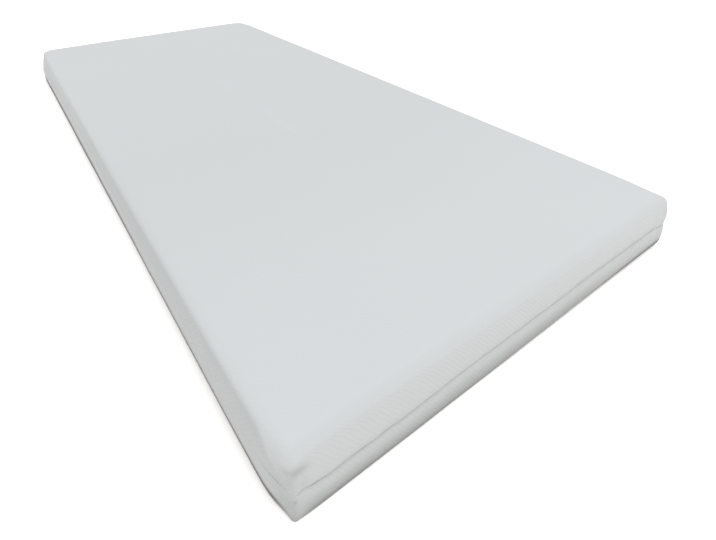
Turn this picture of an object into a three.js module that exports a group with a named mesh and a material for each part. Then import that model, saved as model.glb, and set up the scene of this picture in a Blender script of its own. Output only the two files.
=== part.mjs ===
// A thin cold foam mattress for a single bed, lying flat on its underside.
// A block of foam fills a white knit cover, sewn from two shells: an upper one with the
// sleeping face and the high part of the sides, and a lower one with the underside and
// the rolled low part. One seam joins them round all four sides and draws the cloth in.
//
// Millimetres. +X runs along the mattress towards its foot end, +Y across it, +Z up.
// The origin is the middle of the underside.

import * as THREE from "three";

// Driving dimensions
const LENGTH = 2000;
const WIDTH = 900;
const THICKNESS = 120;
const SHELL_GAP = 0.3;

// Side, seen in section: the seam is drawn in, and each shell swells beyond it. The upper
// one then leans in a little towards the rounded edge of the crowned top.
const SEAM_LEVEL = 57;
const UPPER_RISES = [0.05, 0.13, 0.27, 0.45, 0.65, 0.83, 1];
const UPPER_SWELL_RISE = 0.45;
const UPPER_WAVINESS = 0.6;
const LEAN_POWER = 1.3;
const SOFT_VALLEY = 0.7;
const TOP_EDGE_RADIUS = 10;
const TOP_EDGE_STEPS = 5;
const CROWN_DROP = 2;
const CROWN_REACH = 150;
const TIGHTEST_CORNER = 4;

// The lip of the lower shell: out from the seam to its crest, down, and rolled under
const LIP_SHARES = [0.06, 0.22, 0.5, 1];
const LIP_DRAW = 0.3;
const LIP_CREST_FALL = 0.28;
const LIP_FALL_STEPS = 2;
const LIP_LEAN = 0.5;
const LIP_WAVINESS = 0.35;
const ROLL_STEPS = 4;
const ROLL_RISE_TO_WIDTH = 1.66;

// Insets of the rings that carry the crown, and of those that close a shell at the seam
const CROWN_RINGS = [24, 42, 75, 110, CROWN_REACH];
const PARTING_RINGS = [24, 60];

// The seam by the distance round the sides from the near corner of the foot end: its height,
// how far it is drawn in, how far the side above it leans in, the share of the rise where
// that lean starts, and how far the lip below it rolls under
const SEAM_ROUND = [
  { side: "foot", along: 4, height: 56, draw: 0.4, lean: 2, leanFrom: 0.45, roll: 4.5 },
  { side: "foot", along: 22, height: 52, draw: 3, lean: 3, leanFrom: 0.45, roll: 4.2 },
  { side: "foot", along: 48, height: 44, draw: 5.5, lean: 3, leanFrom: 0.45, roll: 4.2 },
  { side: "foot", along: 190, height: 46, draw: 5, lean: 3, leanFrom: 0.45, roll: 4.5 },
  { side: "foot", along: 330, height: 53, draw: 4, lean: 3, leanFrom: 0.45, roll: 5 },
  { side: "foot", along: 500, height: 55, draw: 4, lean: 3, leanFrom: 0.45, roll: 6.5 },
  { side: "foot", along: 610, height: 58, draw: 4.5, lean: 3, leanFrom: 0.45, roll: 8 },
  { side: "foot", along: 760, height: 58, draw: 4.5, lean: 3.5, leanFrom: 0.45, roll: 9.5 },
  { side: "foot", along: 845, height: 58, draw: 4, lean: 3.5, leanFrom: 0.45, roll: 10 },
  { side: "foot", along: 888, height: 54, draw: 2.5, lean: 3.5, leanFrom: 0.45, roll: 9.5 },
  { side: "right", along: 20, height: 50, draw: 1.5, lean: 4, leanFrom: 0.45, roll: 7 },
  { side: "right", along: 160, height: 56, draw: 5, lean: 3, leanFrom: 0.45, roll: 7 },
  { side: "right", along: 520, height: 55, draw: 5, lean: 2.5, leanFrom: 0.45, roll: 6 },
  { side: "right", along: 1180, height: 59, draw: 5, lean: 2.5, leanFrom: 0.45, roll: 6 },
  { side: "right", along: 1960, height: 56, draw: 5, lean: 3, leanFrom: 0.45, roll: 6 },
  { side: "head", along: 240, height: 58, draw: 6, lean: 3, leanFrom: 0.45, roll: 6 },
  { side: "head", along: 610, height: 55, draw: 6, lean: 5, leanFrom: 0.3, roll: 6 },
  { side: "left", along: 40, height: 57, draw: 5, lean: 13, leanFrom: 0, roll: 4 },
  { side: "left", along: 640, height: 59, draw: 4, lean: 7.5, leanFrom: 0.15, roll: 3.5 },
  { side: "left", along: 1350, height: 54, draw: 1.4, lean: 3, leanFrom: 0.3, roll: 3.5 },
  { side: "left", along: 1960, height: 57, draw: 0.4, lean: 2, leanFrom: 0.45, roll: 4.5 },
];
const SIDE_START = { foot: 0, right: WIDTH, head: WIDTH + LENGTH, left: 2 * WIDTH + LENGTH };
const GIRTH = 2 * (LENGTH + WIDTH);

// Slow unevenness of the filled sides, in whole waves a lap so that it joins up
const SIDE_WAVES = [
  { waves: 7, amount: 0.7, start: 0.4 },
  { waves: 17, amount: 0.5, start: 2.1 },
  { waves: 31, amount: 0.3, start: 4.0 },
];
const DEEPEST_WAVE = SIDE_WAVES.reduce((sum, { amount }) => sum + amount, 0);

// Corners, in turn round the outline: rounder at the top than below the seam, whose gather
// pulls the ends of the sides in. The slack is how much spare cloth the corner has.
const CORNERS = [
  { end: 1, side: -1, top: 22, low: 8, pullSide: 10, reachSide: 25, pullEnd: 1, slack: 1 },
  { end: 1, side: 1, top: 20, low: 4, pullSide: 0, reachSide: 40, pullEnd: 0.3, slack: 0.3 },
  { end: -1, side: 1, top: 26, low: 9, pullSide: 4, reachSide: 45, pullEnd: 2, slack: 0.5 },
  { end: -1, side: -1, top: 50, low: 10, pullSide: 2, reachSide: 45, pullEnd: 1, slack: 0.5 },
];
const REACH_END = 26;
const PULL_AT_TOP = 0.3;

// What spare cloth does at a corner. Each form is a soft push round a place that is given
// by its distances from the end and the side, and its level. Some are at one corner only.
const CORNER_FORMS = [
  { form: "sag", place: [10, 12, 118], reach: [34, 28, 30], push: [0, 0, -5] },
  { form: "slump", place: [35, 3, 114], reach: [50, 14, 17], push: [0, -3, -4] },
  { form: "dart", place: [2, 17, 62], reach: [14, 4.5, 26], push: [1.6, 0.6, 0] },
  { form: "dimple", place: [2, 24, 87], reach: [16, 11, 9], push: [-3.5, 0, -0.5] },
  { form: "trough", place: [2, 28, 66], reach: [14, 7, 14], push: [-1.5, 0, 0] },
  { form: "fold", place: [4, 11, 97], reach: [10, 5, 8], push: [1.5, 1, 0.5] },
  { form: "lip's corner", only: [1, 1], place: [3, 3, 26], reach: [10, 10, 16], push: [1, 1, 0] },
  { form: "fallen shoulder", only: [-1, -1], place: [8, 6, 86], reach: [40, 32, 24], push: [-7, -7, 0] },
];

// Spacing of the stations round the outline: fine at the corners, wider along the sides
const CORNER_STEPS = 6;
const FIRST_STEP = 4;
const STEP_GROWTH = 1.27;
const LONGEST_STEP = 85;

const halfLength = LENGTH / 2;
const halfWidth = WIDTH / 2;
const { lerp, clamp, smoothstep } = THREE.MathUtils;
const bell = (distance, reach) => Math.exp(-((distance / reach) ** 2));

// Shares of a side's length at which its stations lie, closest together at both ends
function sideShares(length) {
  const steps = [];
  let reached = 0;
  let step = FIRST_STEP;
  while (reached + step < length / 2) {
    reached += step;
    steps.push(reached);
    step = Math.min(step * STEP_GROWTH, LONGEST_STEP);
  }
  const stretch = length / 2 / (reached + step / 2);
  const firstHalf = steps.map((at) => (at * stretch) / length);
  const secondHalf = firstHalf.map((share) => 1 - share).reverse();
  return [...firstHalf, ...secondHalf];
}

// One lap of stations: a quarter turn at each corner, then the side that leads on from it
function outlineStations() {
  const stations = [];
  CORNERS.forEach((corner, index) => {
    const next = (index + 1) % CORNERS.length;
    for (let step = 0; step <= CORNER_STEPS; step += 1) {
      stations.push({ corner: index, turn: step / CORNER_STEPS });
    }
    const length = corner.end === CORNERS[next].end ? WIDTH : LENGTH;
    for (const share of sideShares(length)) {
      stations.push({ corner: index, next, share });
    }
  });
  return stations;
}

// A point of the corner's quarter circle on the ring that lies inset from the widest line
function cornerPoint(index, turn, inset, level) {
  const corner = CORNERS[index];
  const rounded = lerp(corner.low, corner.top, smoothstep(level, SEAM_LEVEL, THICKNESS));
  const radius = Math.max(rounded - inset, TIGHTEST_CORNER);
  const angle = ((index - 1 + turn) * Math.PI) / 2;
  const centre = new THREE.Vector2(
    corner.end * (halfLength - inset - radius),
    corner.side * (halfWidth - inset - radius),
  );
  return centre.add(new THREE.Vector2(Math.cos(angle), Math.sin(angle)).multiplyScalar(radius));
}

function ringPoint(station, inset, level) {
  if (station.next === undefined) {
    return cornerPoint(station.corner, station.turn, inset, level);
  }
  const from = cornerPoint(station.corner, 1, inset, level);
  const to = cornerPoint(station.next, 0, inset, level);
  return from.lerp(to, station.share);
}

// Distance round the mattress from its near corner, for a point on or near a side
function lapPosition(point) {
  const toEnd = halfLength - Math.abs(point.x);
  const toSide = halfWidth - Math.abs(point.y);
  if (toEnd < toSide) {
    return point.x > 0
      ? SIDE_START.foot + point.y + halfWidth
      : SIDE_START.head + halfWidth - point.y;
  }
  return point.y > 0
    ? SIDE_START.right + halfLength - point.x
    : SIDE_START.left + point.x + halfLength;
}

// A column of the seam's table at a point of the outline, eased from row to row
function seamFact(point, column) {
  const lap = lapPosition(point);
  const rows = SEAM_ROUND.map((row) => ({ at: SIDE_START[row.side] + row.along, ...row }));
  const first = rows[0];
  const last = rows[rows.length - 1];
  const lapRows = [{ ...last, at: last.at - GIRTH }, ...rows, { ...first, at: first.at + GIRTH }];
  const after = lapRows.findIndex((row) => row.at > lap);
  const from = lapRows[after - 1];
  const to = lapRows[after];
  return lerp(from[column], to[column], smoothstep(lap, from.at, to.at));
}

function sideWave(point) {
  const lap = lapPosition(point) / GIRTH;
  return SIDE_WAVES.reduce(
    (sum, { waves, amount, start }) => sum + amount * Math.sin(lap * waves * 2 * Math.PI + start),
    0,
  );
}

// The pull of the gathered seam near each corner, most at the seam and least at the top
function gatherAtCorners(point, level) {
  const moved = point.clone();
  const grip = lerp(1, PULL_AT_TOP, smoothstep(level, SEAM_LEVEL, THICKNESS));
  for (const corner of CORNERS) {
    const alongX = halfLength - corner.end * point.x;
    const alongY = halfWidth - corner.side * point.y;
    const near = corner.top + corner.low;
    const pullSide = corner.pullSide * bell(alongX, corner.reachSide) * bell(alongY, near);
    const pullEnd = corner.pullEnd * bell(alongY, REACH_END) * bell(alongX, near);
    moved.y -= corner.side * grip * pullSide;
    moved.x -= corner.end * grip * pullEnd;
  }
  return moved;
}

function pressCornerForms(point) {
  const moved = point.clone();
  for (const corner of CORNERS) {
    const place = [halfLength - corner.end * point.x, halfWidth - corner.side * point.y, point.z];
    for (const form of CORNER_FORMS) {
      if (form.only && (form.only[0] !== corner.end || form.only[1] !== corner.side)) {
        continue;
      }
      const share = place.reduce(
        (product, at, axis) => product * bell(at - form.place[axis], form.reach[axis]),
        form.only ? 1 : corner.slack,
      );
      const [alongEnd, alongSide, up] = form.push;
      const push = new THREE.Vector3(corner.end * alongEnd, corner.side * alongSide, up);
      moved.addScaledVector(push, share);
    }
  }
  return moved;
}

// A ring of 3D points: inset from the widest line, gathered and uneven where it is a side.
// The inset and the level are worked out from the station's point on the widest line.
function sideRing(stations, insetAt, levelAt, waviness = 0, lift = 0) {
  return stations.map((station) => {
    const base = ringPoint(station, 0, SEAM_LEVEL);
    const level = levelAt(base);
    const inset = insetAt(base) + waviness * (DEEPEST_WAVE + sideWave(base));
    const flat = gatherAtCorners(ringPoint(station, inset, level), level);
    const pressed = pressCornerForms(new THREE.Vector3(flat.x, flat.y, level));
    pressed.z += lift;
    return pressed;
  });
}

function seamRing(stations, lift) {
  const insetAt = (base) => seamFact(base, "draw");
  return sideRing(stations, insetAt, (base) => seamFact(base, "height"), 0, lift);
}

// Rings that step from the wandering seam line to a level parting inside the mattress
function partingRings(stations, lift) {
  return PARTING_RINGS.map((inset, index) => {
    const levelling = (index + 1) / PARTING_RINGS.length;
    return stations.map((station) => {
      const flat = ringPoint(station, inset, SEAM_LEVEL);
      const seam = seamFact(ringPoint(station, 0, SEAM_LEVEL), "height");
      return new THREE.Vector3(flat.x, flat.y, lerp(seam, SEAM_LEVEL, levelling) + lift);
    });
  });
}

// How much of the seam's draw is left on the way to a crest, from 1 at the seam to 0
function drawnIn(share) {
  const left = 1 - clamp(share, 0, 1);
  const sharp = 1 - Math.sqrt(1 - left ** 2);
  return lerp(sharp, left ** 2, SOFT_VALLEY);
}

// The top sinks from its flat middle to its edge by CROWN_DROP
function crownLevel(inset) {
  const share = clamp((CROWN_REACH - inset) / CROWN_REACH, 0, 1);
  return THICKNESS - CROWN_DROP * share ** 2;
}

function upperRings(stations) {
  const sideTop = crownLevel(TOP_EDGE_RADIUS) - TOP_EDGE_RADIUS;
  const side = UPPER_RISES.map((rise) => {
    const swell = drawnIn(rise / UPPER_SWELL_RISE);
    const leaningAt = (base) => {
      const start = seamFact(base, "leanFrom");
      return clamp((rise - start) / (1 - start), 0, 1) ** LEAN_POWER;
    };
    return sideRing(
      stations,
      (base) => seamFact(base, "draw") * swell + seamFact(base, "lean") * leaningAt(base),
      (base) => lerp(seamFact(base, "height"), sideTop, rise),
      UPPER_WAVINESS * (1 - rise) * (1 - swell),
    );
  });
  const edge = [];
  for (let step = 1; step <= TOP_EDGE_STEPS; step += 1) {
    const angle = ((step / TOP_EDGE_STEPS) * Math.PI) / 2;
    const rounding = TOP_EDGE_RADIUS * (1 - Math.cos(angle));
    const level = sideTop + TOP_EDGE_RADIUS * Math.sin(angle);
    edge.push(sideRing(stations, (base) => seamFact(base, "lean") + rounding, () => level));
  }
  const crown = CROWN_RINGS.map((inset) =>
    sideRing(stations, () => inset, () => crownLevel(inset)),
  );
  return [...side, ...edge, ...crown];
}

// From the seam outwards and down to the flat underside
function lowerRings(stations) {
  const crestOf = (base) => seamFact(base, "height") * (1 - LIP_CREST_FALL);
  const rollRiseOf = (base) => seamFact(base, "roll") * ROLL_RISE_TO_WIDTH;
  const rings = LIP_SHARES.map((share) => {
    const drawn = drawnIn(share);
    return sideRing(
      stations,
      (base) => lerp(LIP_DRAW, seamFact(base, "draw"), drawn),
      (base) => lerp(seamFact(base, "height"), crestOf(base), share),
      LIP_WAVINESS * (1 - drawn),
    );
  });
  for (let step = 1; step <= LIP_FALL_STEPS; step += 1) {
    const share = step / LIP_FALL_STEPS;
    const inset = LIP_DRAW + LIP_LEAN * share ** 2;
    const levelAt = (base) => lerp(crestOf(base), rollRiseOf(base), share);
    rings.push(sideRing(stations, () => inset, levelAt, LIP_WAVINESS));
  }
  for (let step = 1; step <= ROLL_STEPS; step += 1) {
    const angle = ((step / ROLL_STEPS) * Math.PI) / 2;
    const insetAt = (base) => LIP_DRAW + LIP_LEAN + seamFact(base, "roll") * (1 - Math.cos(angle));
    const left = 1 - Math.sin(angle);
    const waviness = LIP_WAVINESS * smoothstep(left, 0, 1);
    rings.push(sideRing(stations, insetAt, (base) => rollRiseOf(base) * left, waviness));
  }
  return rings;
}

// A closed skin over a stack of rings, lowest first, with a fan over each end. The upper
// shell's parting bands run the other way round, so they turn their diagonals to match.
function closedBody(rings, turnedBands = 0) {
  const perRing = rings[0].length;
  const points = rings.flat();
  const triangles = [];
  for (let ring = 0; ring < rings.length - 1; ring += 1) {
    for (let here = 0; here < perRing; here += 1) {
      const ahead = (here + 1) % perRing;
      const low = ring * perRing;
      const high = low + perRing;
      if (ring < turnedBands) {
        triangles.push(low + here, low + ahead, high + here);
        triangles.push(low + ahead, high + ahead, high + here);
      } else {
        triangles.push(low + here, low + ahead, high + ahead);
        triangles.push(low + here, high + ahead, high + here);
      }
    }
  }
  const bottomCentre = points.length;
  points.push(new THREE.Vector3(0, 0, rings[0][0].z));
  const topCentre = points.length;
  const lastRing = rings.length - 1;
  points.push(new THREE.Vector3(0, 0, rings[lastRing][0].z));
  for (let here = 0; here < perRing; here += 1) {
    const ahead = (here + 1) % perRing;
    triangles.push(bottomCentre, ahead, here);
    triangles.push(topCentre, lastRing * perRing + here, lastRing * perRing + ahead);
  }
  const geometry = new THREE.BufferGeometry().setFromPoints(points);
  geometry.setIndex(triangles);
  geometry.computeVertexNormals();
  return geometry;
}

function whiteKnit(color) {
  return new THREE.MeshStandardMaterial({ color, roughness: 0.9, metalness: 0 });
}

function upperCover(stations) {
  const parting = partingRings(stations, SHELL_GAP).reverse();
  const rings = [...parting, seamRing(stations, SHELL_GAP), ...upperRings(stations)];
  const mesh = new THREE.Mesh(closedBody(rings, PARTING_RINGS.length), whiteKnit("#e9ecee"));
  mesh.name = "upper_cover";
  return mesh;
}

function lowerCover(stations) {
  const rings = [...lowerRings(stations).reverse(), seamRing(stations, 0), ...partingRings(stations, 0)];
  const mesh = new THREE.Mesh(closedBody(rings), whiteKnit("#e4e7e8"));
  mesh.name = "lower_cover";
  return mesh;
}

const mattress = new THREE.Group();
const stations = outlineStations();
mattress.add(upperCover(stations), lowerCover(stations));

export default mattress;
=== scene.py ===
# %% [markdown]
# # A thin cold foam mattress in a white knit cover
#
# On the real object a block of cold foam fills a cover of thick white double knit. The
# cover is sewn from two shells. The upper one has the sleeping face and the high part of
# the four sides, and the lower one has the underside and a rolled lip. One seam joins
# them all the way round and draws the cloth in.
#
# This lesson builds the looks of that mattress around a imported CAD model. The model
# gives the size and the place of everything, and it stays as it is. Each of its two plain
# solids is replaced here by a finer shell of the same form.

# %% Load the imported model
import math

import bmesh
import bpy
import numpy as np
from mathutils import Matrix, Vector


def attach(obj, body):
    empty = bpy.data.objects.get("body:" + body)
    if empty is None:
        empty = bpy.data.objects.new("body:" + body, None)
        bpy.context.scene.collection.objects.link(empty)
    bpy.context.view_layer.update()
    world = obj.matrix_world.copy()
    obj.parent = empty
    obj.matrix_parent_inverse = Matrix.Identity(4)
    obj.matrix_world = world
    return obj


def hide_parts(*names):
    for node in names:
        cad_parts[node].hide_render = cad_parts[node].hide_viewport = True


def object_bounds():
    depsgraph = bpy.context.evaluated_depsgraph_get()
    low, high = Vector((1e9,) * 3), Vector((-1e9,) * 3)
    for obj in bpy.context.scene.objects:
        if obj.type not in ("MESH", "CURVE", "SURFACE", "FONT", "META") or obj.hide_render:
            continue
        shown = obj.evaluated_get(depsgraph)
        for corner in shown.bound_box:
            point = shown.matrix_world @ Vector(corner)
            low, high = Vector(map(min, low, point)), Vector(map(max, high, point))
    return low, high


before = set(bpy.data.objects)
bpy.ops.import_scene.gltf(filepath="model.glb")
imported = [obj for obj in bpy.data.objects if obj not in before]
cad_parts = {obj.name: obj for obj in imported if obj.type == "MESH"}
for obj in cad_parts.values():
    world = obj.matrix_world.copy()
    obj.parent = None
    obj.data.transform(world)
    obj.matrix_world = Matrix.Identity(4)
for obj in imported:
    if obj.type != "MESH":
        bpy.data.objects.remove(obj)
cad_low, cad_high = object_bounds()
print("CAD nodes:", sorted(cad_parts))
print("CAD box in metres:", tuple(cad_low), tuple(cad_high))

# %% [markdown]
# ## The camera
#
# The photograph was taken from a little above the near short end with a wide lens, and
# the frame was moved down a bit afterwards, so that its upright lines still stand
# upright. A camera could be turned until the picture looks right. Here it was worked out
# from the vanishing points of the long and short edges instead, because those fix the
# lens, the shift and the direction all at once, and the distance then follows from the
# mattress's own length. The place and direction below are in metres, in the CAD frame.

# %% Place the camera
CAMERA_PLACE = Vector((1.2942, -0.5786, 0.6556))
CAMERA_LOOKS = Vector((-0.7354, 0.5254, -0.4279))
CAMERA_RIGHT = Vector((0.5828, 0.8126, -0.0039))
LENS = 24.76
SENSOR = 36.0
SHIFT_DOWN = 0.189
SHIFT_RIGHT = 0.022

camera_data = bpy.data.cameras.new("camera")
camera_data.lens = LENS
camera_data.sensor_width = SENSOR
camera_data.shift_x = SHIFT_RIGHT
camera_data.shift_y = -SHIFT_DOWN
camera = bpy.data.objects.new("camera", camera_data)
bpy.context.scene.collection.objects.link(camera)
camera_up = CAMERA_RIGHT.cross(CAMERA_LOOKS).normalized()
camera_side = CAMERA_LOOKS.cross(camera_up).normalized()
turned = Matrix((camera_side, camera_up, -CAMERA_LOOKS.normalized())).transposed()
camera.matrix_world = Matrix.Translation(CAMERA_PLACE) @ turned.to_4x4()
bpy.context.scene.camera = camera
print("camera looks down by", round(math.degrees(math.asin(-CAMERA_LOOKS.z)), 1), "degrees")

# %% [markdown]
# ## The studio
#
# A white thing on white is shown by small steps of grey, so the light has to be plain
# and even. Most of it comes from a white surround, which also lights the floor. A very
# wide overhead light, leaning towards the foot end, makes the top and the foot side a
# little brighter than the long side, which is how the photograph tells them apart. It
# is a sun lamp with a wide angle, because an area lamp would fall off over the floor.
# The surround is very slightly cool and the floor very slightly warm, because the
# photograph's top is cool and its sides, which the floor lights from below, are neutral.
# The light is so strong that the floor comes out nearly white, as in the photograph, and
# the knit's own colour is set a little darker than white cloth to go with it.
#
# The Standard view keeps the greys as they are rendered. Blender's default view would
# press the whites together.

# %% Light, floor and surround
SURROUND_COLOUR = (0.97, 1.0, 1.01, 1.0)
SURROUND_STRENGTH = 0.865
FLOOR_COLOUR = (0.965, 0.93, 0.905, 1.0)
FLOOR_HALF = 30.0
OVERHEAD_FROM = Vector((0.29, -0.06, 0.957))
OVERHEAD_SPREAD = 50.0
OVERHEAD_STRENGTH = 2.26
OVERHEAD_AWAY = 3.0


def add_surround():
    world = bpy.data.worlds.new("white_surround")
    world.use_nodes = True
    background = world.node_tree.nodes["Background"]
    background.inputs["Color"].default_value = SURROUND_COLOUR
    background.inputs["Strength"].default_value = SURROUND_STRENGTH
    bpy.context.scene.world = world


def add_overhead():
    data = bpy.data.lights.new("overhead", "SUN")
    data.angle = math.radians(OVERHEAD_SPREAD)
    data.energy = OVERHEAD_STRENGTH
    lamp = bpy.data.objects.new("overhead", data)
    bpy.context.scene.collection.objects.link(lamp)
    lamp.location = OVERHEAD_FROM * OVERHEAD_AWAY
    lamp.rotation_mode = "QUATERNION"
    lamp.rotation_quaternion = (-OVERHEAD_FROM).to_track_quat("-Z", "Y")


def add_floor():
    corners = [(-1, -1), (1, -1), (1, 1), (-1, 1)]
    mesh = bpy.data.meshes.new("floor")
    mesh.from_pydata([(x * FLOOR_HALF, y * FLOOR_HALF, 0.0) for x, y in corners], [], [(0, 1, 2, 3)])
    floor = bpy.data.objects.new("floor", mesh)
    bpy.context.scene.collection.objects.link(floor)
    paper = bpy.data.materials.new("floor_paper")
    paper.use_nodes = True
    shader = paper.node_tree.nodes["Principled BSDF"]
    shader.inputs["Base Color"].default_value = FLOOR_COLOUR
    shader.inputs["Roughness"].default_value = 1.0
    shader.inputs["Specular IOR Level"].default_value = 0.0
    mesh.materials.append(paper)


add_surround()
add_overhead()
add_floor()
bpy.context.scene.view_settings.view_transform = "Standard"
print("overhead light stands at", round(math.degrees(math.asin(OVERHEAD_FROM.normalized().z))), "degrees")

# %% [markdown]
# ## The sizes that drive the form
#
# All sizes from here on are in millimetres, and a mesh is brought to metres when it is
# made. Length, width and thickness come from the frame. The section of a side follows the
# CAD model's: the seam is drawn in to a soft valley, the upper shell swells beyond it and
# leans in to a rounded top edge, and the lip below the seam swells too, hangs almost
# straight and rolls under to the floor. The gap between the shells is narrower here,
# because the CAD model keeps its two solids well apart. On the long left side the lip
# rolls under a little more, and the gather beside the near corner reaches a little further.

# %% Driving sizes
MM = 0.001
LENGTH, WIDTH, THICKNESS = (round(side / MM) for side in cad_high - cad_low)
HALF_LENGTH = LENGTH / 2
HALF_WIDTH = WIDTH / 2
SHELL_GAP = 0.05
SEAM_LEVEL = 57
UPPER_SWELL_RISE = 0.45
LIP_DRAW = 0.3
LIP_CREST_FALL = 0.28
LIP_LEAN = 0.5
UPPER_WAVINESS = 0.6
LIP_WAVINESS = 0.35
ROLL_RISE_TO_WIDTH = 1.66
TOP_EDGE_RADIUS = 10
LEAN_POWER = 1.3
SOFT_VALLEY = 0.7
CROWN_DROP = 2
CROWN_REACH = 150
TIGHTEST_CORNER = 4
print("mattress of", LENGTH, "by", WIDTH, "by", THICKNESS, "mm")

# %% [markdown]
# The seam wanders up and down by a few millimetres on its way round, as a sewn seam on
# soft foam does. At a few places on each side the table gives its height, how far it is
# drawn in, how far the side leans in above it, the share of the rise where that lean
# starts, and how far the lip rolls under. The sides also swell and sink by a fraction of
# a millimetre, in whole waves a lap, so that the waves join up. Both are measured by the
# lap: the way round the sides from the near corner.

# %% The seam's height and the unevenness of the sides
SIDE_START = {"foot": 0, "right": WIDTH, "head": WIDTH + LENGTH, "left": 2 * WIDTH + LENGTH}
GIRTH = 2 * (LENGTH + WIDTH)
SEAM_ROUND = [
    {"side": "foot", "along": 4, "height": 56, "draw": 0.4, "lean": 2.0, "lean_from": 0.45, "roll": 4.5},
    {"side": "foot", "along": 22, "height": 52, "draw": 3.0, "lean": 3.0, "lean_from": 0.45, "roll": 4.2},
    {"side": "foot", "along": 48, "height": 44, "draw": 5.5, "lean": 3.0, "lean_from": 0.45, "roll": 4.2},
    {"side": "foot", "along": 190, "height": 46, "draw": 5.0, "lean": 3.0, "lean_from": 0.45, "roll": 4.5},
    {"side": "foot", "along": 330, "height": 53, "draw": 4.0, "lean": 3.0, "lean_from": 0.45, "roll": 5.0},
    {"side": "foot", "along": 500, "height": 55, "draw": 4.0, "lean": 3.0, "lean_from": 0.45, "roll": 6.5},
    {"side": "foot", "along": 610, "height": 58, "draw": 4.5, "lean": 3.0, "lean_from": 0.45, "roll": 8.0},
    {"side": "foot", "along": 760, "height": 58, "draw": 4.5, "lean": 3.5, "lean_from": 0.45, "roll": 9.5},
    {"side": "foot", "along": 845, "height": 58, "draw": 4.0, "lean": 3.5, "lean_from": 0.45, "roll": 10.0},
    {"side": "foot", "along": 888, "height": 54, "draw": 2.5, "lean": 3.5, "lean_from": 0.45, "roll": 9.5},
    {"side": "right", "along": 20, "height": 50, "draw": 1.5, "lean": 4.0, "lean_from": 0.45, "roll": 7.0},
    {"side": "right", "along": 160, "height": 56, "draw": 5.0, "lean": 3.0, "lean_from": 0.45, "roll": 7.0},
    {"side": "right", "along": 520, "height": 55, "draw": 5.0, "lean": 2.5, "lean_from": 0.45, "roll": 6.0},
    {"side": "right", "along": 1180, "height": 59, "draw": 5.0, "lean": 2.5, "lean_from": 0.45, "roll": 6.0},
    {"side": "right", "along": 1960, "height": 56, "draw": 5.0, "lean": 3.0, "lean_from": 0.45, "roll": 6.0},
    {"side": "head", "along": 240, "height": 58, "draw": 6.0, "lean": 3.0, "lean_from": 0.45, "roll": 6.0},
    {"side": "head", "along": 610, "height": 55, "draw": 6.0, "lean": 5.0, "lean_from": 0.3, "roll": 6.0},
    {"side": "left", "along": 40, "height": 57, "draw": 5.0, "lean": 13.0, "lean_from": 0.0, "roll": 4.0},
    {"side": "left", "along": 640, "height": 59, "draw": 4.0, "lean": 7.5, "lean_from": 0.15, "roll": 4.2},
    {"side": "left", "along": 1350, "height": 54, "draw": 1.4, "lean": 3.0, "lean_from": 0.3, "roll": 4.3},
    {"side": "left", "along": 1960, "height": 57, "draw": 0.4, "lean": 2.0, "lean_from": 0.45, "roll": 6.0},
]
SIDE_WAVES = [
    {"waves": 7, "amount": 0.7, "start": 0.4},
    {"waves": 17, "amount": 0.5, "start": 2.1},
    {"waves": 31, "amount": 0.3, "start": 4.0},
]
DEEPEST_WAVE = sum(row["amount"] for row in SIDE_WAVES)
print("the seam is given at", len(SEAM_ROUND), "places of a lap of", GIRTH, "mm")

# %% Helpers that read the table and the waves along the lap
PROBES = 400


def smooth_share(value, start, end):
    """Rises gently from 0 at the start to 1 at the end."""
    share = np.clip((value - start) / (end - start), 0.0, 1.0)
    return share * share * (3.0 - 2.0 * share)


def bell(distance, reach):
    """Falls gently from 1 at no distance, and is a little over a third at the reach."""
    return np.exp(-((distance / reach) ** 2))


def lap_position(x, y):
    on_end = HALF_LENGTH - np.abs(x) < HALF_WIDTH - np.abs(y)
    at_end = np.where(x > 0, y + HALF_WIDTH, SIDE_START["head"] + HALF_WIDTH - y)
    at_right = SIDE_START["right"] + HALF_LENGTH - x
    at_left = SIDE_START["left"] + HALF_LENGTH + x
    return np.where(on_end, at_end, np.where(y > 0, at_right, at_left))


def seam_fact(lap, column):
    """A column of the seam's table at each place of the lap, eased from row to row."""
    rows = [(SIDE_START[row["side"]] + row["along"], row[column]) for row in SEAM_ROUND]
    rows = [(rows[-1][0] - GIRTH, rows[-1][1]), *rows, (rows[0][0] + GIRTH, rows[0][1])]
    at, fact = np.array(rows, float).T
    after = np.clip(np.searchsorted(at, lap, side="right"), 1, len(at) - 1)
    share = smooth_share(lap, at[after - 1], at[after])
    return fact[after - 1] + share * (fact[after] - fact[after - 1])


def lap_waves(lap, rows):
    turn = lap / GIRTH * 2.0 * math.pi
    return sum(row["amount"] * np.sin(turn * row["waves"] + row["start"]) for row in rows)


probed = seam_fact(np.linspace(0, GIRTH, PROBES), "height")
print("seam runs from", round(float(probed.min()), 1), "to", round(float(probed.max()), 1), "mm")

# %% [markdown]
# ## The outline and its stations
#
# Each shell is a stack of rings round the mattress, and every ring has a point at each of
# the same stations. A box with its edges subdivided would give as many points, but not
# where they are needed. Stations can stand close together at the corners, where the cloth
# is gathered, and further apart along the plain sides. A ring that lies further in is
# the same outline, inset, with its corner circles made smaller.
#
# The corners are listed in the order of the lap, from the near corner. Each has its own
# radius at the top and low down. The table also says how far the gathered seam pulls the
# side and the end in there and how far along the side that reaches, and gives the corner's
# slack: how much spare cloth it has, as a share of the near corner's.

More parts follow.
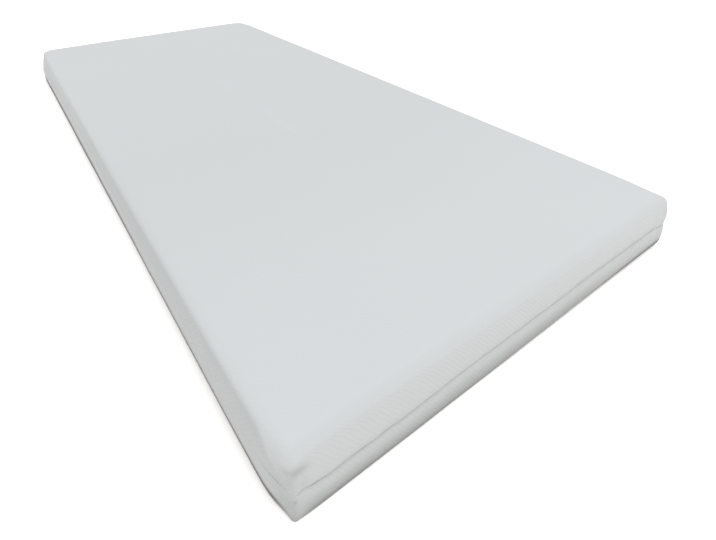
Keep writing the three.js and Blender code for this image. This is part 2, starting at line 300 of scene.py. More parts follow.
# %% The four corners
CORNERS = [
    {"end": 1, "side": -1, "top": 22, "low": 8, "pull_side": 10, "reach_side": 34, "pull_end": 1,
     "slack": 1.0},
    {"end": 1, "side": 1, "top": 20, "low": 4, "pull_side": 0, "reach_side": 40, "pull_end": 0.3,
     "slack": 0.3},
    {"end": -1, "side": 1, "top": 26, "low": 9, "pull_side": 4, "reach_side": 45, "pull_end": 2,
     "slack": 0.5},
    {"end": -1, "side": -1, "top": 50, "low": 10, "pull_side": 2, "reach_side": 45, "pull_end": 1,
     "slack": 0.5},
]
corner_top = np.array([row["top"] for row in CORNERS], float)
corner_low = np.array([row["low"] for row in CORNERS], float)
corner_end = np.array([row["end"] for row in CORNERS], float)
corner_side = np.array([row["side"] for row in CORNERS], float)
print("corner radii:", corner_top, "mm at the top,", corner_low, "mm low down")

# %% Stations round the outline
CORNER_STEPS = 8
FIRST_STEP = 3.5
STEP_GROWTH = 1.06
LONGEST_STEP = 9.0


def side_shares(length):
    """Places along a side as shares of its length, closest together next to its corners."""
    steps = []
    reached, step = 0.0, FIRST_STEP
    while reached + step < length / 2:
        reached += step
        steps.append(reached)
        step = min(step * STEP_GROWTH, LONGEST_STEP)
    stretch = length / 2 / (reached + step / 2)
    first_half = [at * stretch / length for at in steps]
    return first_half + [1.0 - share for share in reversed(first_half)]


def outline_stations():
    """Columns: the corner a station belongs to, its turn round it, the next corner, its share."""
    stations = []
    for index, corner in enumerate(CORNERS):
        following = (index + 1) % len(CORNERS)
        for step in range(CORNER_STEPS + 1):
            stations.append((index, step / CORNER_STEPS, following, 0.0))
        length = WIDTH if corner["end"] == CORNERS[following]["end"] else LENGTH
        for share in side_shares(length):
            stations.append((index, 1.0, following, share))
    return np.array(stations)


stations = outline_stations()
station_corner = stations[:, 0].astype(int)
station_turn = stations[:, 1]
station_next = stations[:, 2].astype(int)
station_share = stations[:, 3]
STATION_COUNT = len(stations)
print(STATION_COUNT, "stations round the outline")

# %% The outline, and the rim at the seam's level


def corner_point(index, turn, inset, level):
    """A point of a corner's circle, whose radius grows from low down to the top."""
    rounder = smooth_share(level, SEAM_LEVEL, THICKNESS)
    radius = corner_low[index] + rounder * (corner_top[index] - corner_low[index])
    radius = np.maximum(radius - inset, TIGHTEST_CORNER)
    angle = (index - 1 + turn) * math.pi / 2
    x = corner_end[index] * (HALF_LENGTH - inset - radius) + radius * np.cos(angle)
    y = corner_side[index] * (HALF_WIDTH - inset - radius) + radius * np.sin(angle)
    return np.stack([x, y], axis=-1)


def outline(inset, level):
    start = corner_point(station_corner, station_turn, inset, level)
    end = corner_point(station_next, 0.0, inset, level)
    return start + station_share[:, None] * (end - start)


rim = outline(0.0, SEAM_LEVEL)
rim_lap = lap_position(rim[:, 0], rim[:, 1])
rim_seam = seam_fact(rim_lap, "height")
rim_draw = seam_fact(rim_lap, "draw")
rim_lean = seam_fact(rim_lap, "lean")
rim_lean_from = seam_fact(rim_lap, "lean_from")
rim_roll = seam_fact(rim_lap, "roll")
rim_roll_rise = rim_roll * ROLL_RISE_TO_WIDTH
rim_wave = DEEPEST_WAVE + lap_waves(rim_lap, SIDE_WAVES)
print("the sides swell and sink by up to", round(float(np.ptp(rim_wave)), 1), "mm")

# %% [markdown]
# ## The shade painted on the cloth
#
# Every point of the shells gets a shade, which the knit's colour later reads as painted shade, a small
# darkening. Part of it is shade where less light reaches: the seam's valley, the lip turned to the floor,
# and a painted contact shadow along the line where it meets the floor.
# The rest stands in for the room, which lit the long left side and the far end less than
# this plain studio does. An image could carry the shade as well, but a value on each
# point needs no file and follows the form by itself.

# %% Where the shade changes round the sides
LEFT_EASE = 45.0
RIGHT_END_EASE = (520, 820)
RIGHT_END_FADE = 200
CORNER_EASE = (5, 45)
CORNER_LIP_SHARE = 0.55
DEEP_DRAW = 5.0

left_start, left_end = SIDE_START["left"], SIDE_START["left"] + LENGTH
past_near_corner = smooth_share(rim_lap, left_end - LEFT_EASE, left_end) + (rim_lap < WIDTH)
off_left = past_near_corner + 1.0 - smooth_share(rim_lap, left_start, left_start + LEFT_EASE)
off_left = np.clip(off_left, 0.0, 1.0)
right_end = smooth_share(rim_lap, *RIGHT_END_EASE)
right_end = right_end * (1.0 - smooth_share(rim_lap, WIDTH, WIDTH + RIGHT_END_FADE))
near_corner = 1.0 - smooth_share(np.minimum(rim_lap, GIRTH - rim_lap), *CORNER_EASE)
corner_share = 1.0 - (1.0 - CORNER_LIP_SHARE) * near_corner
seam_share = off_left * np.minimum(rim_draw / DEEP_DRAW, 1.0)


def by_place(amounts):
    """An amount at each station, from the ones on the left side, at the right end and elsewhere."""
    elsewhere = amounts["other"] + right_end * (amounts["right end"] - amounts["other"])
    return amounts["left"] + off_left * (elsewhere - amounts["left"])


print("share of the stations on the left side:", round(float(1.0 - off_left.mean()), 2))

# %% Shade of the seam and the top's edge
SEAM_SHADE = 0.05
SEAM_SHADE_REACH = 4.5
VALLEY_SHADE = 0.07
VALLEY_REACH = 14.0
EDGE_SHADE = {"foot": 0.06, "other": 0.03}
FOOT_EDGE_EASE = (3, 30)
EDGE_SHADE_INSET = 8.0
EDGE_SHADE_REACH = 6.0


def seam_shade(draw, level):
    away = np.hypot(draw - rim_draw, level - rim_seam)
    line = SEAM_SHADE * bell(away, SEAM_SHADE_REACH)
    valley = VALLEY_SHADE * bell(away, VALLEY_REACH)
    return seam_share * (line + valley)


def edge_shade(inset):
    """Painted shade on the rounded edge of the top, most at the foot end, against the overhead light's
    bright band there.
    """
    at_foot = 1.0 - smooth_share(HALF_LENGTH - rim[:, 0], *FOOT_EDGE_EASE)
    amount = EDGE_SHADE["other"] + at_foot * (EDGE_SHADE["foot"] - EDGE_SHADE["other"])
    return amount * bell(inset - EDGE_SHADE_INSET, EDGE_SHADE_REACH)


print("darkest on the seam's line:", round(float(seam_shade(rim_draw, rim_seam).max()), 2))

# %% Shade of the room on the left side and the far end
LEFT_SIDE_SHADE = 0.15
LEFT_SIDE_EASE = (3, 16)
LEFT_SIDE_FADE = 0.4
LEFT_SIDE_FADE_EASE = (600, 1400)
LEFT_SIDE_AT_FLOOR = 0.4
BELOW_TOP_EASE = (12, 2)
SLUMP_ALONG = (20, 70)
SLUMP_DEPTH = 20
SLUMP_SOFTENING = 1.5
FAR_SHADE = 0.05
FAR_SHADE_EASE = (50, 750)


def far_shade(ring):
    return FAR_SHADE * smooth_share(HALF_LENGTH - ring[:, 0], *FAR_SHADE_EASE)


def left_side_shade(ring):
    """The long left side gets little light, least under its top edge at the near end."""
    level = ring[:, 2]
    from_foot = HALF_LENGTH - ring[:, 0]
    on_side = 1.0 - smooth_share(rim[:, 1] + HALF_WIDTH, *LEFT_SIDE_EASE)
    slump = SLUMP_DEPTH * (1.0 - smooth_share(from_foot, *SLUMP_ALONG))
    dark_until = THICKNESS - BELOW_TOP_EASE[0] - SLUMP_SOFTENING * slump
    light_from = THICKNESS - BELOW_TOP_EASE[1] - slump
    below_edge = 1.0 - smooth_share(level, dark_until, light_from)
    fading = 1.0 - LEFT_SIDE_FADE * smooth_share(from_foot, *LEFT_SIDE_FADE_EASE)
    from_floor = LEFT_SIDE_AT_FLOOR + (1.0 - LEFT_SIDE_AT_FLOOR) * level / THICKNESS
    return LEFT_SIDE_SHADE * on_side * below_edge * fading * from_floor


def room_shade(ring):
    return far_shade(ring) + left_side_shade(ring)


print("darkest at the far end of the top:", FAR_SHADE)

# %% Shade of the lip and the line at the floor
LIP_SHADE = 0.46
LIP_SHADE_STARTS = 0.87
LIP_SHADE_SHARE = {"left": 0.0, "right end": 0.5, "other": 1.0}
FLOOR_LINE_SHADE = {"left": 0.85, "right end": 0.7, "other": 0.22}
FLOOR_LINE_TOP = {"left": 21.0, "right end": 20.0, "other": 9.0}
FLOOR_LINE_FULL = 0.5
FAR_LINE_TOP = 38.0
FAR_LINE_EASE = (500, 1300)


def lip_shade(level):
    """Painted shade: the lip darkens as it turns to the floor, and a painted contact shadow runs as a dark
    line where it meets it.
    """
    start = rim_seam * LIP_SHADE_STARTS
    falling = np.clip((start - level) / (start - rim_roll_rise), 0.0, 1.0)
    lip = LIP_SHADE * by_place(LIP_SHADE_SHARE) * falling
    far = smooth_share(HALF_LENGTH - rim[:, 0], *FAR_LINE_EASE) * (1.0 - off_left)
    line_top = by_place(FLOOR_LINE_TOP)
    line_top = line_top + far * (FAR_LINE_TOP - line_top)
    line = by_place(FLOOR_LINE_SHADE) * (1.0 - smooth_share(level / line_top, FLOOR_LINE_FULL, 1.0))
    return corner_share * (lip + line)


print("darkest at the floor:", round(float(lip_shade(0.0).max()), 2))

# %% [markdown]
# ## The rings
#
# A ring gives the place of each station at one step of the section. Beside it are kept
# how far the cloth has run beyond the top's edge by then, which the knit's pattern needs
# later, and its shade. At the corners the gathered seam pulls the ends of the sides in,
# most at the seam and least at the top.

# %% One ring, gathered at the corners
REACH_END = 26
PULL_AT_TOP = 0.3


def gather_at_corners(flat, level):
    """Pulls the ends of the sides in towards the corners, as the gathered seam does."""
    moved = flat.copy()
    grip = 1.0 + smooth_share(level, SEAM_LEVEL, THICKNESS) * (PULL_AT_TOP - 1.0)
    for row in CORNERS:
        along_x = HALF_LENGTH - row["end"] * flat[:, 0]
        along_y = HALF_WIDTH - row["side"] * flat[:, 1]
        near = row["top"] + row["low"]
        pull_side = row["pull_side"] * bell(along_x, row["reach_side"]) * bell(along_y, near)
        pull_end = row["pull_end"] * bell(along_y, REACH_END) * bell(along_x, near)
        moved[:, 1] -= row["side"] * grip * pull_side
        moved[:, 0] -= row["end"] * grip * pull_end
    return moved


def side_ring(inset, level, waviness=0.0):
    level = np.broadcast_to(level, (STATION_COUNT,)).astype(float)
    flat = gather_at_corners(outline(inset + waviness * rim_wave, level), level)
    return np.column_stack([flat, level])


def drawn_in(share):
    """How much of the seam's draw is left on the way to a crest, from 1 at the seam to 0."""
    sharp = 1.0 - math.sqrt(1.0 - (1.0 - share) ** 2)
    return SOFT_VALLEY * (1.0 - share) ** 2 + (1.0 - SOFT_VALLEY) * sharp


print("the seam's ring has", len(side_ring(rim_draw, rim_seam)), "points")

# %% Rings of the upper shell
UPPER_SIDE_STEPS = 13
TOP_EDGE_STEPS = 6
CROWN_INSETS = [24, 32, 42, 56, 80, 110, CROWN_REACH, 200, 270, 350, 430]


def crown_level(inset):
    share = np.clip((CROWN_REACH - inset) / CROWN_REACH, 0.0, 1.0)
    return THICKNESS - CROWN_DROP * share**2


def upper_rings():
    """The upper shell's rings from the seam up and in, with the cloth's run and shade at each."""
    side_top = crown_level(TOP_EDGE_RADIUS) - TOP_EDGE_RADIUS
    edge_run = TOP_EDGE_RADIUS * math.pi / 2 - rim_lean - TOP_EDGE_RADIUS
    rings, runs, shades = [], [], []
    for step in range(UPPER_SIDE_STEPS + 1):
        rise = 1.0 - math.cos(step / UPPER_SIDE_STEPS * math.pi / 2)
        swell = drawn_in(min(rise / UPPER_SWELL_RISE, 1.0))
        leaning = np.clip((rise - rim_lean_from) / (1.0 - rim_lean_from), 0.0, 1.0) ** LEAN_POWER
        draw = rim_draw * swell + rim_lean * leaning
        level = rim_seam + SHELL_GAP + rise * (side_top - rim_seam - SHELL_GAP)
        rings.append(side_ring(draw, level, waviness=(1.0 - rise) * (1.0 - swell) * UPPER_WAVINESS))
        runs.append(edge_run + side_top - level)
        shades.append(seam_shade(draw, level) + room_shade(rings[-1]))
    for step in range(1, TOP_EDGE_STEPS + 1):
        angle = step / TOP_EDGE_STEPS * math.pi / 2
        inset = rim_lean + TOP_EDGE_RADIUS * (1.0 - math.cos(angle))
        rings.append(side_ring(inset, side_top + TOP_EDGE_RADIUS * math.sin(angle)))
        runs.append(edge_run - TOP_EDGE_RADIUS * angle)
        shades.append(room_shade(rings[-1]) + edge_shade(inset))
    for inset in CROWN_INSETS:
        rings.append(side_ring(inset, crown_level(inset)))
        runs.append(np.full(STATION_COUNT, -float(inset)))
        shades.append(far_shade(rings[-1]) + edge_shade(inset))
    return rings, runs, shades


upper_skin, upper_runs, upper_shades = upper_rings()
print(len(upper_skin), "rings in the upper shell")

# %% Rings of the lower shell, and those that close a shell inside
LIP_STEPS = 5
LIP_FALL_STEPS = 3
ROLL_STEPS = 7
PARTING_INSETS = [9, 24, 60]


def lip_section():
    """The lip from the seam down and under: how far each step is drawn in, its level and waviness."""
    crest = rim_seam * (1.0 - LIP_CREST_FALL)
    section = []
    for step in range(LIP_STEPS + 1):
        eased = 1.0 - math.cos(step / LIP_STEPS * math.pi / 2)
        drawn = drawn_in(eased)
        draw = LIP_DRAW + (rim_draw - LIP_DRAW) * drawn
        section.append((draw, rim_seam + eased * (crest - rim_seam), LIP_WAVINESS * (1.0 - drawn)))
    for step in range(1, LIP_FALL_STEPS + 1):
        share = step / LIP_FALL_STEPS
        level = crest + share * (rim_roll_rise - crest)
        section.append((LIP_DRAW + LIP_LEAN * share**2, level, LIP_WAVINESS))
    for step in range(1, ROLL_STEPS + 1):
        angle = step / ROLL_STEPS * math.pi / 2
        draw = LIP_DRAW + LIP_LEAN + rim_roll * (1.0 - math.cos(angle))
        level = rim_roll_rise * (1.0 - math.sin(angle))
        section.append((draw, level, LIP_WAVINESS * smooth_share(level, 0.0, rim_roll_rise)))
    return section


def lower_rings():
    """The lower shell's rings from the seam down and in, with the cloth's run and shade at each."""
    rings, runs, shades = [], [], []
    for draw, level, waviness in lip_section():
        rings.append(side_ring(draw, level, waviness))
        runs.append(SEAM_LEVEL - level)
        shades.append(seam_shade(draw, level) + lip_shade(level) + left_side_shade(rings[-1]))
    return rings, runs, shades


def parting_rings(lift):
    """Rings that close a shell inside the mattress, from the seam's line to a level middle."""
    rings = []
    for order, inset in enumerate(PARTING_INSETS, start=1):
        level = rim_seam + (SEAM_LEVEL - rim_seam) * order / len(PARTING_INSETS)
        flat = gather_at_corners(outline(inset, level), level)
        rings.append(np.column_stack([flat, level + lift]))
    return rings


lower_skin, lower_runs, lower_shades = lower_rings()
print(len(lower_skin), "rings in the lower shell")

# %% [markdown]
# ## How the knit lies on the form
#
# The cloth of a real cover is cut as one flat sheet, folded down at the four edges, and
# the spare corner is sewn away in a short dart on the end side. So its ribs run straight
# over an edge, and meet at an angle along the dart. A pattern on Object coordinates would
# slide over the sides at the wrong scale. Each point therefore gets a place on the flat
# sheet, in metres, as its UV: on the top that is simply x and y, and on a side the
# run beyond the edge takes the place of one of them. The UV map breaks only at the darts.

# %% The sheet that each side belongs to
DART_FROM_CORNER = 19
EASE_RUN = 10.0
RIM_TOLERANCE = 0.01
HALF_SIZE = (HALF_LENGTH, HALF_WIDTH)
SIDES = [
    {"name": "foot", "across": 0, "outward": 1, "forward": 1, "start": DART_FROM_CORNER},
    {"name": "right", "across": 1, "outward": 1, "forward": -1, "start": WIDTH - DART_FROM_CORNER},
    {"name": "head", "across": 0, "outward": -1, "forward": -1,
     "start": WIDTH + LENGTH + DART_FROM_CORNER},
    {"name": "left", "across": 1, "outward": -1, "forward": 1,
     "start": 2 * WIDTH + LENGTH - DART_FROM_CORNER},
]
rim_steps = np.linalg.norm(np.roll(rim, -1, axis=0) - rim, axis=1)
rim_way = np.concatenate([[0.0], np.cumsum(rim_steps)[:-1]])
rim_girth = rim_steps.sum()
gap_lap = np.mod(rim_lap + (np.mod(np.roll(rim_lap, -1) - rim_lap, GIRTH)) / 2, GIRTH)
gap_side = (np.searchsorted([row["start"] for row in SIDES], gap_lap, side="right") - 1) % len(SIDES)


def middle_way(order):
    """The way round to the middle of a side, where the sheet's other axis is zero."""
    row = SIDES[order]
    reach = HALF_SIZE[row["across"]]
    on_side = row["outward"] * rim[:, row["across"]] > reach - RIM_TOLERANCE
    other = rim[on_side, 1 - row["across"]] * row["forward"]
    order_up = np.argsort(other)
    return np.interp(0.0, other[order_up], rim_way[on_side][order_up])


def sheet_place(order, ring, run):
    """Where the points of a ring lie on the flat sheet, if they belong to that side."""
    row = SIDES[order]
    reach = HALF_SIZE[row["across"]]
    way = rim_way - middle_way(order)
    way = np.mod(way + rim_girth / 2, rim_girth) - rim_girth / 2
    folded = np.empty((STATION_COUNT, 2))
    folded[:, row["across"]] = row["outward"] * (reach + run)
    folded[:, 1 - row["across"]] = row["forward"] * way
    off_top = smooth_share(run, -TOP_EDGE_RADIUS, EASE_RUN)[:, None]
    return ring[:, :2] + off_top * (folded - ring[:, :2])


print("the girth along the cloth is", round(rim_girth), "mm")

# %% [markdown]
# ## From rings to a skin
#
# The rings are joined by four-sided faces, which the cloth simulation and the subdivision
# both like. The skin stays open at its two innermost rings for now, because a
# subdivision takes very long over one flat face of hundreds of sides. The line of the
# seam gets a crease, so that the subdivision keeps its sharp fold.

# %% Build the shells


def stack_faces(ring_count):
    faces = []
    for ring in range(ring_count - 1):
        for here in range(STATION_COUNT):
            ahead = (here + 1) % STATION_COUNT
            low, high = ring * STATION_COUNT, (ring + 1) * STATION_COUNT
            faces.append((low + here, low + ahead, high + ahead, high + here))
    return faces


def skin_over(name, rings, runs, shades, seam_ring):
    """A mesh over a stack of rings, lowest first, with its UV map, shade and seam crease."""
    points = np.concatenate(rings)
    mesh = bpy.data.meshes.new(name)
    mesh.from_pydata((points * MM).tolist(), [], stack_faces(len(rings)))
    places = [
        np.concatenate([sheet_place(order, ring, run) for ring, run in zip(rings, runs)])
        for order in range(len(SIDES))
    ]
    loop_point = np.empty(len(mesh.loops), int)
    mesh.loops.foreach_get("vertex_index", loop_point)
    loop_side = np.repeat(np.tile(gap_side, len(rings) - 1), 4)
    uv = points[loop_point, :2]
    for order, place in enumerate(places):
        mine = np.flatnonzero(loop_side == order)
        uv[mine] = place[loop_point[mine]]
    layer = mesh.uv_layers.new(name="cloth")
    layer.uv.foreach_set("vector", (uv * MM).astype(np.float32).ravel())
    shade = mesh.attributes.new("shade", "FLOAT", "POINT")
    shade.data.foreach_set("value", np.concatenate(shades).astype(np.float32))
    edge_points = np.empty(len(mesh.edges) * 2, int)
    mesh.edges.foreach_get("vertices", edge_points)
    on_seam = (edge_points.reshape(-1, 2) // STATION_COUNT == seam_ring).all(axis=1)
    crease = mesh.attributes.new("crease_edge", "FLOAT", "EDGE")
    crease.data.foreach_set("value", on_seam.astype(np.float32))
    mesh.polygons.foreach_set("use_smooth", [True] * len(mesh.polygons))
    piece = bpy.data.objects.new(name, mesh)
    bpy.context.scene.collection.objects.link(piece)
    return piece


HIDDEN = len(PARTING_INSETS)
upper_shell = skin_over(
    "upper_shell",
    list(reversed(parting_rings(SHELL_GAP))) + upper_skin,
    [upper_runs[0]] * HIDDEN + upper_runs,
    [upper_shades[0]] * HIDDEN + upper_shades,
    seam_ring=HIDDEN,
)
lower_shell = skin_over(
    "lower_shell",
    list(reversed(lower_skin)) + parting_rings(0.0),
    list(reversed(lower_runs)) + [lower_runs[0]] * HIDDEN,
    list(reversed(lower_shades)) + [lower_shades[0]] * HIDDEN,
    seam_ring=len(lower_skin) - 1,
)
print("upper shell:", len(upper_shell.data.polygons), "faces before subdivision")
print("lower shell:", len(lower_shell.data.polygons), "faces before subdivision")

# %% [markdown]
# ## Let the cloth settle
#
# The foam presses the cover out between its seam and its top. A cloth simulation finds how
# the knit gives to that: the seam and the sleeping face are held, gravity is off, and a
# light pressure acts from inside. The shells already have their size, so only a capped
# part of the movement is kept. It runs on the open skin with its even rows of faces, and
# its result is written into the mesh, so that no simulation is left on the piece.

# %% Settle the upper shell's border under pressure
SETTLE_PRESSURE = 4.0
SETTLE_QUALITY = 4
SETTLE_FRAMES = 20
SETTLE_CAP = 0.8
CROWN_RINGS_FREE = 2


def read_vectors(rows, field):
    values = np.empty(len(rows) * 3, np.float32)
    rows.foreach_get(field, values)
    return values.reshape(-1, 3).astype(float)


def write_points(mesh, points):
    mesh.vertices.foreach_set("co", points.astype(np.float32).ravel())
    mesh.update()


def settle(piece, held_rings):
    """Lets the cloth between the held rings give to the pressure, and keeps a capped part."""
    held = [ring * STATION_COUNT + here for ring in held_rings for here in range(STATION_COUNT)]
    piece.vertex_groups.new(name="held").add(held, 1.0, "REPLACE")
    cloth = piece.modifiers.new("settling", "CLOTH")
    cloth.settings.quality = SETTLE_QUALITY
    cloth.settings.vertex_group_mass = "held"
    cloth.settings.use_pressure = True
    cloth.settings.uniform_pressure_force = SETTLE_PRESSURE
    cloth.settings.effector_weights.gravity = 0.0
    cloth.point_cache.frame_start = 1
    cloth.point_cache.frame_end = SETTLE_FRAMES
    start = read_vectors(piece.data.vertices, "co")
    for moment in range(1, SETTLE_FRAMES + 1):
        bpy.context.scene.frame_set(moment)
    depsgraph = bpy.context.evaluated_depsgraph_get()
    settled = piece.evaluated_get(depsgraph).data
    moved = read_vectors(settled.vertices, "co") - start
    piece.modifiers.remove(cloth)
    piece.vertex_groups.clear()
    bpy.context.scene.frame_set(1)
    far = np.linalg.norm(moved, axis=1, keepdims=True) / MM
    kept = moved * SETTLE_CAP / (SETTLE_CAP + far)
    write_points(piece.data, start + kept)
    print(piece.name, "gave up to", round(float(far.max()), 2), "mm, of which a capped part is kept")


ring_count = HIDDEN + len(upper_skin)
first_held = ring_count - len(CROWN_INSETS) + CROWN_RINGS_FREE
settle(upper_shell, [*range(HIDDEN + 1), *range(first_held, ring_count)])

# %% [markdown]
# ## One subdivision
#
# Subdivision rounds the rings into a smooth skin. It is applied at once, so that the
# small forms that follow can be shaped on the fine mesh. Then one flat face over each
# innermost ring closes the shell.

# %% Subdivide the shells


def applied(piece):
    """Turns the piece and its modifiers into one plain mesh."""
    depsgraph = bpy.context.evaluated_depsgraph_get()
    mesh = bpy.data.meshes.new_from_object(piece.evaluated_get(depsgraph))
    mesh.name = piece.name
    old = piece.data
    piece.modifiers.clear()
    piece.data = mesh
    bpy.data.meshes.remove(old)


def subdivide(piece):
    modifier = piece.modifiers.new("rounding", "SUBSURF")
    modifier.levels = 1
    modifier.render_levels = 1
    modifier.boundary_smooth = "PRESERVE_CORNERS"
    applied(piece)
    print(piece.name, "has", len(piece.data.polygons), "faces")


def close_ends(piece):
    """Fills both open rings with a flat face, whose UV is its own x and y."""
    shape = bmesh.new()
    shape.from_mesh(piece.data)
    cloth = shape.loops.layers.uv["cloth"]
    rim_edges = [edge for edge in shape.edges if edge.is_boundary]
    filled = bmesh.ops.holes_fill(shape, edges=rim_edges, sides=0)["faces"]
    for face in filled:
        face.smooth = False
        for loop in face.loops:
            loop[cloth].uv = loop.vert.co.xy
    bmesh.ops.recalc_face_normals(shape, faces=shape.faces)
    shape.to_mesh(piece.data)
    shape.free()
    print(piece.name, "closed by", len(filled), "flat faces")


for shell in (upper_shell, lower_shell):
    subdivide(shell)
    close_ends(shell)

# %% [markdown]
# ## Where the cloth is gathered
#
# The seam's thread holds the cloth a little short, so that it lies in small puckers on
# both sides of the line. At a corner there is more cloth than the foam fills: the top
# sags, a short dart stands up as a ridge on the end side, and the spare cloth over it
# falls in as a dimple. A cloth simulation would need the real pattern pieces for this, so
# the forms are pressed into the fine mesh one by one. Each is a soft push around a place
# that is measured from its own corner, and the corner's slack makes it stronger or weaker.
# Two forms are at one corner only, and some only paint shade on the cloth.

# %% The puckers and the corners' forms
PUCKER_WAVES = [
    {"waves": 97, "amount": 0.30, "start": 0.7},
    {"waves": 163, "amount": 0.22, "start": 2.9},
    {"waves": 241, "amount": 0.14, "start": 5.1},
]
PUCKER_CREST = 6.0
SKIN_DEPTH = (12.0, 16.0)
NO_PUSH = (0.0, 0.0, 0.0)
# A form's shade is painted shade: it darkens the dimple's roof, the trough and the nick, and, without moving
# the cloth, the cloth under the top's corner, on the flank beside the corner and under the seam's end.
CORNER_FORMS = [
    {"form": "sag", "from_end": 10, "from_side": 12, "level": 118, "reach": (34, 28, 30),
     "push": (0.0, 0.0, -5.0)},
    {"form": "slump", "from_end": 35, "from_side": 3, "level": 114, "reach": (50, 14, 17),
     "push": (0.0, -3.0, -4.0)},
    {"form": "under the top's corner", "from_end": 6, "from_side": 9, "level": 100,
     "reach": (12, 13, 7), "shade": 0.15},
    {"form": "dart", "from_end": 2, "from_side": 17, "level": 62, "reach": (14, 4.5, 26),
     "push": (1.6, 0.6, 0.0)},
    {"form": "dimple", "from_end": 2, "from_side": 24, "level": 87, "reach": (16, 11, 9),
     "push": (-3.5, 0.0, -0.5)},
    {"form": "dimple's roof", "from_end": 3, "from_side": 23, "level": 93, "reach": (12, 11, 9),
     "shade": 0.25},
    {"form": "trough", "from_end": 2, "from_side": 28, "level": 66, "reach": (14, 7, 14),
     "push": (-1.5, 0.0, 0.0), "shade": 0.07},
    {"form": "fold", "from_end": 4, "from_side": 11, "level": 97, "reach": (10, 5, 8),
     "push": (1.5, 1.0, 0.5)},
    {"form": "hollow flank", "from_end": 14, "from_side": 4, "level": 66, "reach": (22, 14, 30),
     "shade": 0.04},
    {"form": "under the seam's end", "from_end": 6, "from_side": 13, "level": 38,
     "reach": (14, 13, 13), "shade": 0.08},
    {"form": "nick", "from_end": 2, "from_side": 16, "level": 43, "reach": (10, 2.0, 4.0),
     "push": (-0.6, 0.0, 0.0), "shade": 0.2},
    {"form": "lip's corner", "only": (1, 1), "from_end": 3, "from_side": 3, "level": 26,
     "reach": (10, 10, 16), "push": (1.0, 1.0, 0.0)},
    {"form": "fallen shoulder", "only": (-1, -1), "from_end": 8, "from_side": 6, "level": 86,
     "reach": (40, 32, 24), "push": (-7.0, -7.0, 0.0)},
]
print(len(PUCKER_WAVES), "waves of puckers and", len(CORNER_FORMS), "corner forms")

# %% Press in the puckers, darts and dimples


def pucker_height(points):
    """How far the cloth beside the seam stands out or in, nothing on the line itself."""
    lap = lap_position(points[:, 0], points[:, 1])
    away = np.abs(points[:, 2] - seam_fact(lap, "height")) / PUCKER_CREST
    inward = np.minimum(HALF_LENGTH - np.abs(points[:, 0]), HALF_WIDTH - np.abs(points[:, 1]))
    on_skin = 1.0 - smooth_share(inward, *SKIN_DEPTH)
    return lap_waves(lap, PUCKER_WAVES) * away * np.exp(1.0 - away) * on_skin


def corner_forms(points):
    """What the corners' forms add to each point, and to its shade."""
    moved = np.zeros_like(points)
    shade = np.zeros(len(points))
    for row in CORNERS:
        here = (row["end"], row["side"])
        from_end = HALF_LENGTH - row["end"] * points[:, 0]
        from_side = HALF_WIDTH - row["side"] * points[:, 1]
        for form in CORNER_FORMS:
            if form.get("only", here) != here:
                continue
            strength = 1.0 if "only" in form else row["slack"]
            reach = form["reach"]
            share = bell(from_end - form["from_end"], reach[0])
            share *= bell(from_side - form["from_side"], reach[1])
            share *= bell(points[:, 2] - form["level"], reach[2]) * strength
            moved += share[:, None] * np.array(form.get("push", NO_PUSH)) * (*here, 1.0)
            shade += share * form.get("shade", 0.0)
    return moved, shade


def press_forms(piece):
    mesh = piece.data
    points = read_vectors(mesh.vertices, "co") / MM
    normals = read_vectors(mesh.vertex_normals, "vector")
    moved, darker = corner_forms(points)
    moved += normals * pucker_height(points)[:, None]
    write_points(mesh, (points + moved) * MM)
    shade = np.empty(len(mesh.vertices), np.float32)
    mesh.attributes["shade"].data.foreach_get("value", shade)
    mesh.attributes["shade"].data.foreach_set("value", (shade + darker).astype(np.float32))
    print(piece.name, "moved by up to", round(float(np.linalg.norm(moved, axis=1).max()), 2), "mm")


for shell in (upper_shell, lower_shell):
    press_forms(shell)

# %% [markdown]
# ## Shader sums as plain Python
#
# A finish is worked out by many small sums on values that vary over the cloth. Wiring
# each Math node by hand hides the thought behind it. The class below wraps a socket, so
# that a sum written in Python adds its nodes itself. Any other node, in a material or in
# Geometry Nodes, comes from one method that takes its type, its settings and its sockets.

# %% A value that can be used in sums


class Value:
    """A number that varies over a surface. Python sums with it add Math nodes."""

    def __init__(self, tree, socket):
        self.tree = tree
        self.socket = socket

    def maths(self, operation, *terms):
        node = self.tree.nodes.new("ShaderNodeMath")
        node.operation = operation
        for place, term in zip(node.inputs, terms):
            if isinstance(term, Value):
                self.tree.links.new(term.socket, place)
            else:
                place.default_value = term
        return Value(self.tree, node.outputs[0])

    def __add__(self, other):
        return self.maths("ADD", self, other)

    def __radd__(self, other):
        return self.maths("ADD", other, self)

    def __sub__(self, other):
        return self.maths("SUBTRACT", self, other)

    def __rsub__(self, other):
        return self.maths("SUBTRACT", other, self)

    def __mul__(self, other):
        return self.maths("MULTIPLY", self, other)

    def __rmul__(self, other):
        return self.maths("MULTIPLY", other, self)

    def __truediv__(self, other):
        return self.maths("DIVIDE", self, other)

    def __rtruediv__(self, other):
        return self.maths("DIVIDE", other, self)

    def cosine(self):
        return self.maths("COSINE", self)

    def size(self):
        return self.maths("ABSOLUTE", self)

    def at_least(self, other):
        return self.maths("MAXIMUM", self, other)

    def at_most(self, other):
        return self.maths("MINIMUM", self, other)


print("shader sums are ready")

# %% One method that adds any other node


class Nodes:
    """A node tree under construction, with one method that adds any node."""

    def __init__(self, tree):
        self.tree = tree

    def node(self, kind, settings=None, sockets=None):
        """Adds a node of that type, its settings first and then its sockets' values or links."""
        made = self.tree.nodes.new(kind)
        for key, setting in (settings or {}).items():
            setattr(made, key, setting)
        for key, given in (sockets or {}).items():
            given = given.socket if isinstance(given, Value) else given
            if isinstance(given, bpy.types.NodeSocket):
                self.tree.links.new(given, made.inputs[key])
            else:
                made.inputs[key].default_value = given
        return made

    def value(self, socket):
        return Value(self.tree, socket)


print("any other node can be added")

# %% A material under construction


